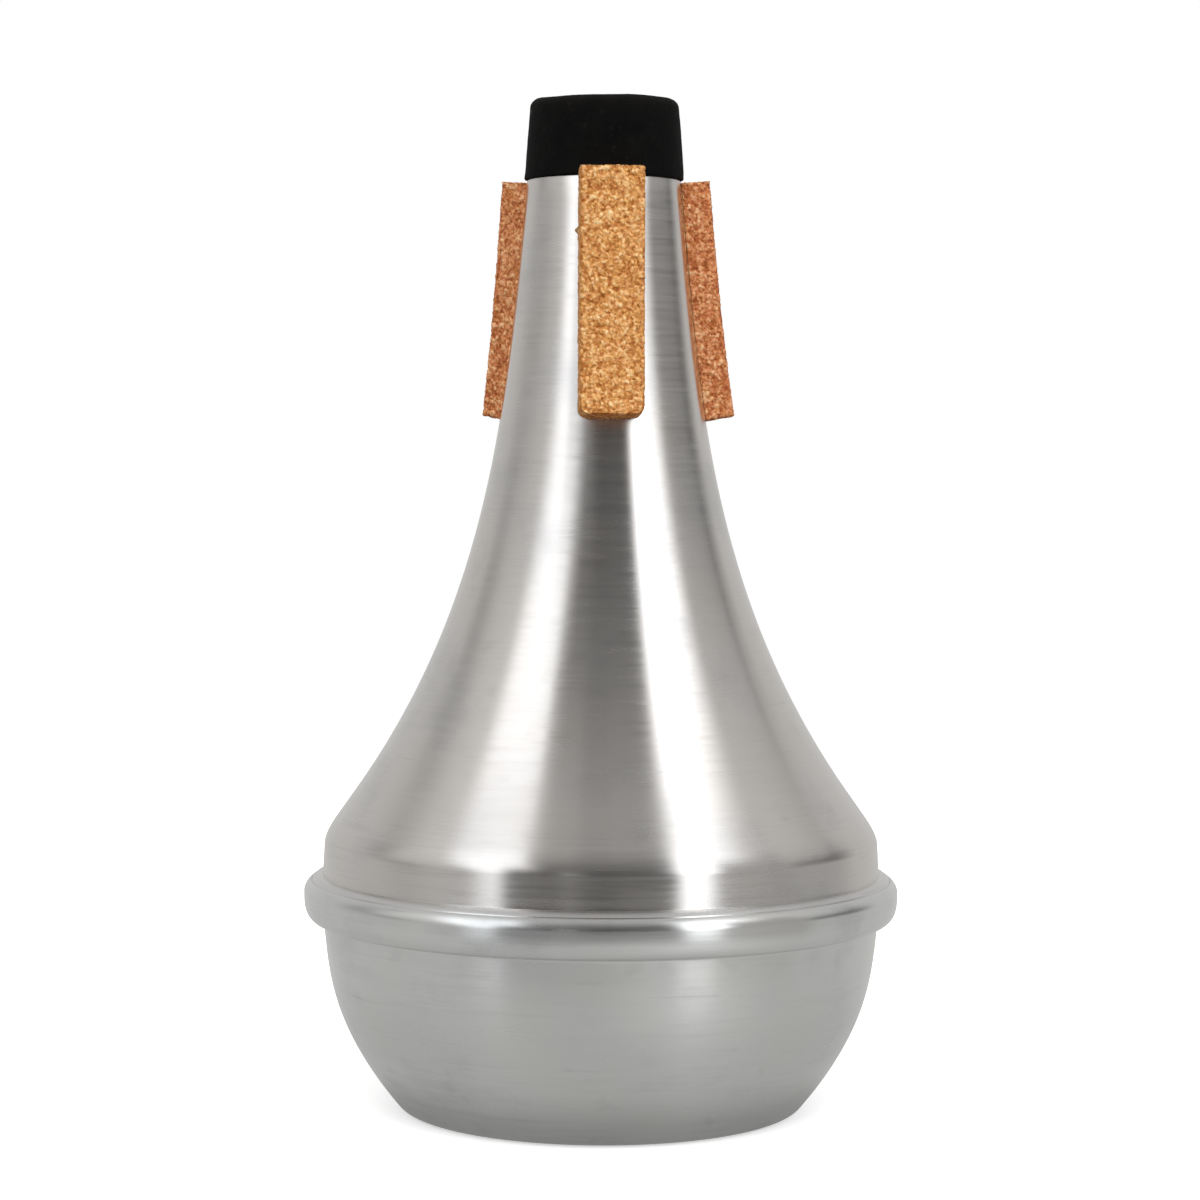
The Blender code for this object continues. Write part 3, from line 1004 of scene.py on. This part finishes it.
def cement_pieces(finish):
    """The film under each strip. Its edge wanders, and shows as a thin line
    between the cork and the metal."""
    made = []
    for index, (name, azimuth_top, azimuth_bottom, top, bottom) in enumerate(
        CORK_STRIPS
    ):
        over_ring = top > RING_BOTTOM_Z
        high = min(top, NECK_END[1] - 0.1)
        across, long = 26, 150
        us, ws = np.linspace(-1, 1, across + 1), np.linspace(0, 1, long + 1)
        u, w = (a.ravel() for a in np.meshgrid(us, ws, indexing="ij"))
        length = top - bottom
        z = (high - 0.35) + (bottom + 0.35 - (high - 0.35)) * w
        seeds = np.stack([np.sign(u) * 3.0 + index * 17.0, z * 1.0, 0 * z], -1)
        wander = (value_noise(seeds, 1.7, 60 + index) - 0.5) * 0.55 + (
            value_noise(seeds, 0.6, 70 + index) - 0.5
        ) * 0.25
        half = CORK_WIDTH / 2 - 0.06 + wander * 0.6 * np.abs(u) ** 6
        ends = np.clip((np.abs(w - 0.5) - 0.5) / 0.02 + 1, 0, 1)
        half = half - ends**2 * 0.5
        x = u * half
        if name == "front":
            # a bead that squeezed out beside the strip
            at = np.exp(-(((z - 146.7) / 0.55) ** 2))
            x = x - np.where(u < -0.9, (np.abs(u) - 0.9) / 0.1, 0.0) * at * 0.75
        share = (top - z) / length
        thin = np.where(np.abs(u) > 0.97, 0.06, 0.0)
        upper = strip_frame(
            azimuth_top, azimuth_bottom, top, bottom, x, 0.16 - thin, share
        )
        lower = strip_frame(
            azimuth_top, azimuth_bottom, top, bottom, x, 0.02, share
        )
        count = len(u)
        number = np.arange(count).reshape(across + 1, long + 1)

        def side(a):
            return np.stack(
                [a[:-1, :-1], a[1:, :-1], a[1:, 1:], a[:-1, 1:]], -1
            ).reshape(-1, 4)

        faces = [*side(number).tolist(), *(side(number) + count)[:, ::-1].tolist()]
        rim = [
            *[number[k, 0] for k in range(across)],
            *[number[across, k] for k in range(long)],
            *[number[k, long] for k in range(across, 0, -1)],
            *[number[0, k] for k in range(long, 0, -1)],
        ]
        for a, b in zip(rim, rim[1:] + rim[:1]):
            faces.append([int(b), int(a), int(a) + count, int(b) + count])
        piece = mesh_piece(
            "cork_cement_" + name, np.vstack([upper, lower]), faces, None, 50
        )
        piece.data.materials.append(finish)
        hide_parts("cork_glue_" + name)
        made.append(piece)
    return made


# ================================================================ the studio
def world_direction(azimuth, elevation=0.0):
    """A direction seen from the mute: azimuth from the camera's side, to the
    camera's right, as a world vector."""
    a, e, c = (
        math.radians(azimuth),
        math.radians(elevation),
        math.radians(CAMERA_AZIMUTH),
    )
    right = Vector((math.cos(c), -math.sin(c), 0.0))
    away = Vector((math.sin(c), math.cos(c), 0.0))
    return (
        right * (math.sin(a) * math.cos(e))
        - away * (math.cos(a) * math.cos(e))
        + Vector((0, 0, math.sin(e)))
    )


STUDIO = {
    # two tall soft boxes. Each edge runs through points of elevation and
    # azimuth, with its softness at two elevations, all in degrees; the lower
    # inner corner of each is hidden up to cut's height as far out as its side
    "left_inner": (((0, -1.5), (18, -19.2), (36, -33.2), (55, -43.2)), ((0, 26.0), (50, 5.0))),
    "left_outer": (((0, -50.1), (12, -51.0), (36, -73.5), (50, -83.5), (58, -68.0)), ((0, 15.0), (50, 15.0))),
    "left_light": 1.720,
    "left_bottom": -7.9,
    "left_cut": (-37.1, 7.6),
    "right_inner": (((0, 19.8), (18, 28.8), (36, 34.4), (55, 41.0)), ((0, 10.0), (50, 10.0))),
    "right_outer": (((0, 45.0), (11, 51.5), (18, 67.0), (36, 75.5), (55, 75.5)), ((0, 10.0), (50, 28.0))),
    "right_light": 2.500,
    "right_bottom": -7.9,
    "right_cut": (30.0, 11.8),
    "box_top": 61.5,
    # the room
    "front_wide": (45.0, 40.0),
    "front_low": 0.073,
    "front_high": 0.420,
    "front_from": 12.5,
    "front_to": 87.9,
    "front_horizon": -16.6,
    "side_low": 0.575,
    "side_high": 0.935,
    "side_right": 0.807,
    "side_horizon": 0.0,
    # how much darker the right and the left side are near the floor
    "dim_right": 0.800,
    "dim_left": 0.146,
    "dim_to": 12.7,
    "dim_to_right": 15.5,
    "rear": 0.621,
    "rear_from": 122.6,
    # two dark uprights beside and behind: where, how wide and how dark
    "right_stripe": (((11, 106.7), (17, 116.9), (27, 120.6)), 5.0, 0.44),
    "left_stripe": (((11, -86.0), (16.5, -112.9)), 19.1, 0.42),
    # the boxes' glow on the dark side between them: where, how wide, how much
    "glow_from": 49.0,
    "left_glow": (-14.6, 7.0, 0.189),
    "right_glow": (4.9, 9.8, 0.050),
    # overhead the ceiling is even
    "ceiling": (54.0, 74.0, 0.55),
    # three low cards close to the mute, which only its lower half mirrors:
    # azimuth from and to, distance from the axis, height and brightness
    "cards": (
        (-37.0, -14.0, 300.0, 178.0, 0.11),
        (6.0, 29.0, 300.0, 178.0, 0.11),
        (42.0, 73.0, 150.0, 138.0, 0.41),
    ),
    # the table the mute stands on, as the metal sees it: a glow of painted light with a painted contact
    # shadow, by distance from the mute's axis in mm: in contact, near, further off and far
    "table": ((34.0, 0.293), (46.0, 0.505), (130.0, 0.592), (400.0, 0.598)),
    # a painted pool of light on the table to the right: azimuth, width and how much brighter
    "table_right": (25.5, 22.0, 0.3449),
    "table_reach": 300.0,
    "table_front": 204.0,
    "table_wide": (64.0, 40.0),
}


def build_world():
    s = STUDIO
    world = bpy.data.worlds.new("studio")
    scene.world = world
    world.use_nodes = True
    g = Graph(world.node_tree)
    for node in list(g.nodes):
        g.nodes.remove(node)
    direction = g.node("ShaderNodeTexCoord").outputs["Generated"]
    right = world_direction(90)
    towards = world_direction(0)
    x, y = g.dot(direction, right), g.dot(direction, towards)
    z = g.dot(direction, (0, 0, 1))
    azimuth = g.math("DEGREES", g.math("ARCTAN2", x, y))
    spread = g.math("ABSOLUTE", azimuth)
    elevation = g.math(
        "DEGREES", g.math("ARCSINE", g.math("MAXIMUM", g.math("MINIMUM", z, 1.0), -1.0))
    )

    def along(points):
        """A value that follows the elevation through the given points."""
        value = points[0][1]
        for (e0, v0), (e1, v1) in zip(points, points[1:]):
            value = g.add(value, g.ramp(elevation, e0, e1, 0.0, v1 - v0, "LINEAR"))
        return value

    def beyond(which, sign):
        at, soft = s[which]
        way = g.mul(g.sub(azimuth, along(at)), sign)
        return g.ramp(g.math("DIVIDE", way, along(soft)), -0.5, 0.5)

    top = g.ramp(elevation, s["box_top"] - 7, s["box_top"] + 7, 1.0, 0.0)

    def box(side, sign):
        shape = g.mul(beyond(side + "_outer", -sign), beyond(side + "_inner", sign))
        bottom = s[side + "_bottom"]
        shape = g.mul(shape, g.ramp(elevation, bottom - 3, bottom + 3))
        beside, height = s[side + "_cut"]
        outside = g.ramp(g.mul(g.sub(azimuth, beside), sign), -3, 3)
        over = g.ramp(elevation, height - 3, height + 3)
        hidden = g.mul(g.sub(1.0, outside), g.sub(1.0, over))
        return g.mul(g.mul(shape, g.sub(1.0, hidden)), top)

    left, right_box = box("left", -1), box("right", 1)

    middle, wide = s["front_wide"]
    front = g.ramp(spread, middle - wide / 2, middle + wide / 2, 1.0, 0.0)
    rear = g.ramp(spread, s["rear_from"] - 10, s["rear_from"] + 10)
    climb = g.ramp(elevation, 0, 60)
    side = g.mix(s["side_low"], s["side_high"], climb)
    on_right = g.math("GREATER_THAN", azimuth, 0.0)
    side = g.mul(side, g.mix(1.0, s["side_right"], on_right))
    ahead = g.ramp(
        elevation, s["front_from"], s["front_to"], s["front_low"], s["front_high"]
    )
    upper = g.mix(side, ahead, front)
    for which in ("right_stripe", "left_stripe"):
        at, wide, deep = s[which]
        away = g.math("ABSOLUTE", g.sub(azimuth, along(at)))
        upper = g.mul(upper, g.ramp(away, 0, wide, 1 - deep, 1.0))
    dim_to = g.mix(s["dim_to"], s["dim_to_right"], on_right)
    low = g.ramp(g.sub(elevation, dim_to), -4, 4, 1.0, 0.0)
    dim = g.mul(g.mul(low, g.sub(1.0, front)), g.mix(s["dim_left"], s["dim_right"], on_right))
    upper = g.mul(upper, g.sub(1.0, dim))
    glow = 0.0
    for which, sign in (("left_glow", -1), ("right_glow", 1)):
        at, wide, much = s[which]
        nearer = g.mul(g.sub(azimuth, at), sign)
        glow = g.add(glow, g.ramp(nearer, -wide / 2, wide / 2, 0.0, much))
    high = g.ramp(elevation, s["glow_from"] - 10, s["glow_from"] + 10)
    upper = g.add(upper, g.mul(g.mul(front, high), glow))
    upper = g.mix(upper, s["rear"], rear)
    start, stop, even = s["ceiling"]
    upper = g.mix(upper, even, g.ramp(elevation, start, stop))
    horizon = g.mix(s["side_horizon"], s["front_horizon"], front)
    above = g.ramp(g.sub(elevation, horizon), -3, 3)
    light = g.mix(s["table"][-1][1], upper, above)
    light = g.mix(light, s["left_light"], left)
    light = g.mix(light, s["right_light"], right_box)

    studio = g.node("ShaderNodeBackground")
    # the boxes are a little cooler than the room
    g.put(
        studio.inputs["Color"],
        g.mix_colour((1.0, 0.992, 0.98), (0.98, 1.0, 1.032), g.add(left, right_box)),
    )
    g.put(studio.inputs["Strength"], light)
    backdrop = g.node("ShaderNodeBackground")
    backdrop.inputs["Color"].default_value = (1.0, 1.0, 1.0, 1.0)
    backdrop.inputs["Strength"].default_value = 1.0
    seen = g.node("ShaderNodeLightPath").outputs["Is Camera Ray"]
    mix = g.node("ShaderNodeMixShader")
    g.put(mix.inputs[0], seen)
    g.links.new(studio.outputs[0], mix.inputs[1])
    g.links.new(backdrop.outputs[0], mix.inputs[2])
    out = g.node("ShaderNodeOutputWorld")
    g.links.new(mix.outputs[0], out.inputs["Surface"])


def disc(name, radius, z, segments=96):
    angle = np.arange(segments) * 2 * math.pi / segments
    points = np.stack(
        [radius * np.cos(angle), radius * np.sin(angle), np.full(segments, z)], -1
    )
    return mesh_piece(name, points, [list(range(segments))], None, 0)


def build_floor():
    # what the camera sees: a white floor with a soft shade around the foot,
    # which fades into the white backdrop
    floor = disc("floor_white", 900.0, -0.10)
    made, g, shader = new_material("floor_white")
    place = g.node("ShaderNodeTexCoord").outputs["Object"]
    tone = g.noise(place, 40.0, 2.0, 0.5)
    g.put(
        shader.inputs["Base Color"],
        g.colour_ramp(tone, ((0.3, (0.93, 0.93, 0.93)), (0.7, (0.95, 0.95, 0.95)))),
    )
    shader.inputs["Roughness"].default_value = 0.8
    shader.inputs["Specular IOR Level"].default_value = 0.1
    shader.inputs["Emission Color"].default_value = (1.0, 1.0, 1.0, 1.0)
    shader.inputs["Emission Strength"].default_value = 0.42
    x, y, z = g.parts(place)
    far = g.math("SQRT", g.add(g.mul(x, x), g.mul(y, y)))
    clear = g.node("ShaderNodeBsdfTransparent")
    mix = g.node("ShaderNodeMixShader")
    g.put(mix.inputs[0], g.ramp(far, 0.28, 0.80))
    g.links.new(shader.outputs[0], mix.inputs[1])
    g.links.new(clear.outputs[0], mix.inputs[2])
    out = made.node_tree.nodes["Material Output"]
    g.links.new(mix.outputs[0], out.inputs["Surface"])
    made.cycles.emission_sampling = "NONE"
    floor.data.materials.append(made)
    floor.visible_glossy = False
    floor.visible_diffuse = False
    floor.visible_transmission = False
    floor.visible_shadow = False

    # what the metal mirrors: a glowing disc with the table's light painted on, and a painted contact shadow
    # where the mute stands on it
    table = disc("table_glow", STUDIO["table_reach"], -0.20)
    made = bpy.data.materials.new("table_glow")
    made.use_nodes = True
    g = Graph(made.node_tree)
    for node in list(g.nodes):
        g.nodes.remove(node)
    place = g.node("ShaderNodeTexCoord").outputs["Object"]
    x, y, z = g.parts(place)
    far = g.mul(g.math("SQRT", g.add(g.mul(x, x), g.mul(y, y))), 1000.0)
    steps = STUDIO["table"]
    light = steps[0][1]
    for (r0, v0), (r1, v1) in zip(steps, steps[1:]):
        light = g.add(light, g.ramp(far, r0, r1, 0.0, v1 - v0))
    right = g.dot(place, world_direction(90))
    towards = g.dot(place, world_direction(0))
    azimuth = g.math("DEGREES", g.math("ARCTAN2", right, towards))
    # painted light: a brighter patch on the table to the right
    at, wide, more = STUDIO["table_right"]
    off = g.mul(g.sub(azimuth, at), 1 / wide)
    painted_pool = g.math("EXPONENT", g.mul(g.mul(off, off), -1.0))
    painted_pool = g.mul(g.mul(painted_pool, more), g.ramp(far, 45, 105))
    light = g.mul(light, g.add(1.0, painted_pool))
    # its front edge, beyond which the room is dark
    middle, wide = STUDIO["table_wide"]
    front = g.ramp(
        g.math("ABSOLUTE", azimuth), middle - wide / 2, middle + wide / 2, 1.0, 0.0
    )
    edge = g.mix(STUDIO["table_reach"] + 60, STUDIO["table_front"], front)
    light = g.mul(light, g.ramp(g.sub(far, edge), -42, 42, 1.0, 0.0))
    glow = g.node("ShaderNodeEmission")
    glow.inputs["Color"].default_value = (1.0, 1.0, 0.985, 1.0)
    g.put(glow.inputs["Strength"], light)
    out = g.node("ShaderNodeOutputMaterial")
    g.links.new(glow.outputs[0], out.inputs["Surface"])
    made.cycles.emission_sampling = "NONE"
    table.data.materials.append(made)
    table.visible_camera = False
    table.visible_shadow = False


def build_cards():
    """Upright bent cards round the mute, seen only in the metal. Their edges
    are soft, as a card close to the metal would be out of focus."""
    for index, (start, stop, far, high, light) in enumerate(STUDIO["cards"]):
        across, up, soft = 24, 12, 4.0
        points, edge = [], []
        for a in np.linspace(start - soft, stop + soft, across + 1):
            inside = min(a - (start - soft), (stop + soft) - a) / (2 * soft)
            for z in np.linspace(0.0, high + 16.0, up + 1):
                way = world_direction(a)
                points.append((way.x * far, way.y * far, z))
                edge.append((inside, (high + 16.0 - z) / 32.0))
        n = up + 1
        faces = [
            [i * n + j, i * n + j + 1, (i + 1) * n + j + 1, (i + 1) * n + j]
            for i in range(across)
            for j in range(up)
        ]
        beside, over = zip(*edge)
        card = mesh_piece(
            "card_%d" % index, points, faces, {"beside": beside, "over": over}, 0
        )
        made = bpy.data.materials.new("card_%d" % index)
        made.use_nodes = True
        g = Graph(made.node_tree)
        for node in list(g.nodes):
            g.nodes.remove(node)
        side = g.node("ShaderNodeAttribute", attribute_name="beside").outputs["Fac"]
        top = g.node("ShaderNodeAttribute", attribute_name="over").outputs["Fac"]
        solid = g.mul(g.ramp(side, 0.0, 1.0), g.ramp(top, 0.0, 1.0))
        glow = g.node("ShaderNodeEmission")
        glow.inputs["Color"].default_value = (1.0, 0.985, 0.965, 1.0)
        glow.inputs["Strength"].default_value = light
        clear = g.node("ShaderNodeBsdfTransparent")
        mix = g.node("ShaderNodeMixShader")
        g.put(mix.inputs[0], solid)
        g.links.new(clear.outputs[0], mix.inputs[1])
        g.links.new(glow.outputs[0], mix.inputs[2])
        out = g.node("ShaderNodeOutputMaterial")
        g.links.new(mix.outputs[0], out.inputs["Surface"])
        made.cycles.emission_sampling = "NONE"
        card.data.materials.append(made)
        card.visible_camera = False
        card.visible_diffuse = False
        card.visible_transmission = False
        card.visible_shadow = False


def build_lights():
    data = bpy.data.lights.new("overhead", "AREA")
    data.shape = "DISK"
    data.size = 1.3
    data.energy = 16.0
    data.color = (1.0, 0.985, 0.96)
    overhead = bpy.data.objects.new("overhead", data)
    scene.collection.objects.link(overhead)
    overhead.location = world_direction(0, 62) * 1.5
    aim = (Vector((0, 0, 0.06)) - overhead.location).to_track_quat("-Z", "Y")
    overhead.rotation_mode = "QUATERNION"
    overhead.rotation_quaternion = aim
    overhead.visible_glossy = False


def build_camera():
    data = bpy.data.cameras.new("camera")
    data.lens = CAMERA_LENS
    data.sensor_width = 36.0
    data.clip_start, data.clip_end = 0.05, 20.0
    camera = bpy.data.objects.new("camera", data)
    scene.collection.objects.link(camera)
    a = math.radians(CAMERA_AZIMUTH)
    camera.location = (
        -CAMERA_DISTANCE * math.sin(a) * MM,
        -CAMERA_DISTANCE * math.cos(a) * MM,
        CAMERA_HEIGHT * MM,
    )
    turn = (
        Matrix.Rotation(-a + math.radians(CAMERA_YAW), 4, "Z")
        @ Matrix.Rotation(math.radians(90 - CAMERA_PITCH), 4, "X")
        @ Matrix.Rotation(math.radians(CAMERA_ROLL), 4, "Z")
    )
    camera.rotation_euler = turn.to_euler()
    scene.camera = camera


# ================================================================== assembly
build_camera()
build_world()
build_floor()
build_cards()
build_lights()

cement = cement_material()
shown = [cone_piece(), bowl_piece(), ring_piece(), *cork_pieces()]
shown += cement_pieces(cement)
for piece in shown:
    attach(piece, "root")

ring_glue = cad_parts["tip_ring_glue"]
ring_glue.data.materials.clear()
ring_glue.data.materials.append(cement)

scene.view_settings.view_transform = "Standard"
scene.view_settings.look = "None"
scene.view_settings.exposure = 0.0
scene.view_settings.gamma = 1.0

bpy.context.view_layer.update()
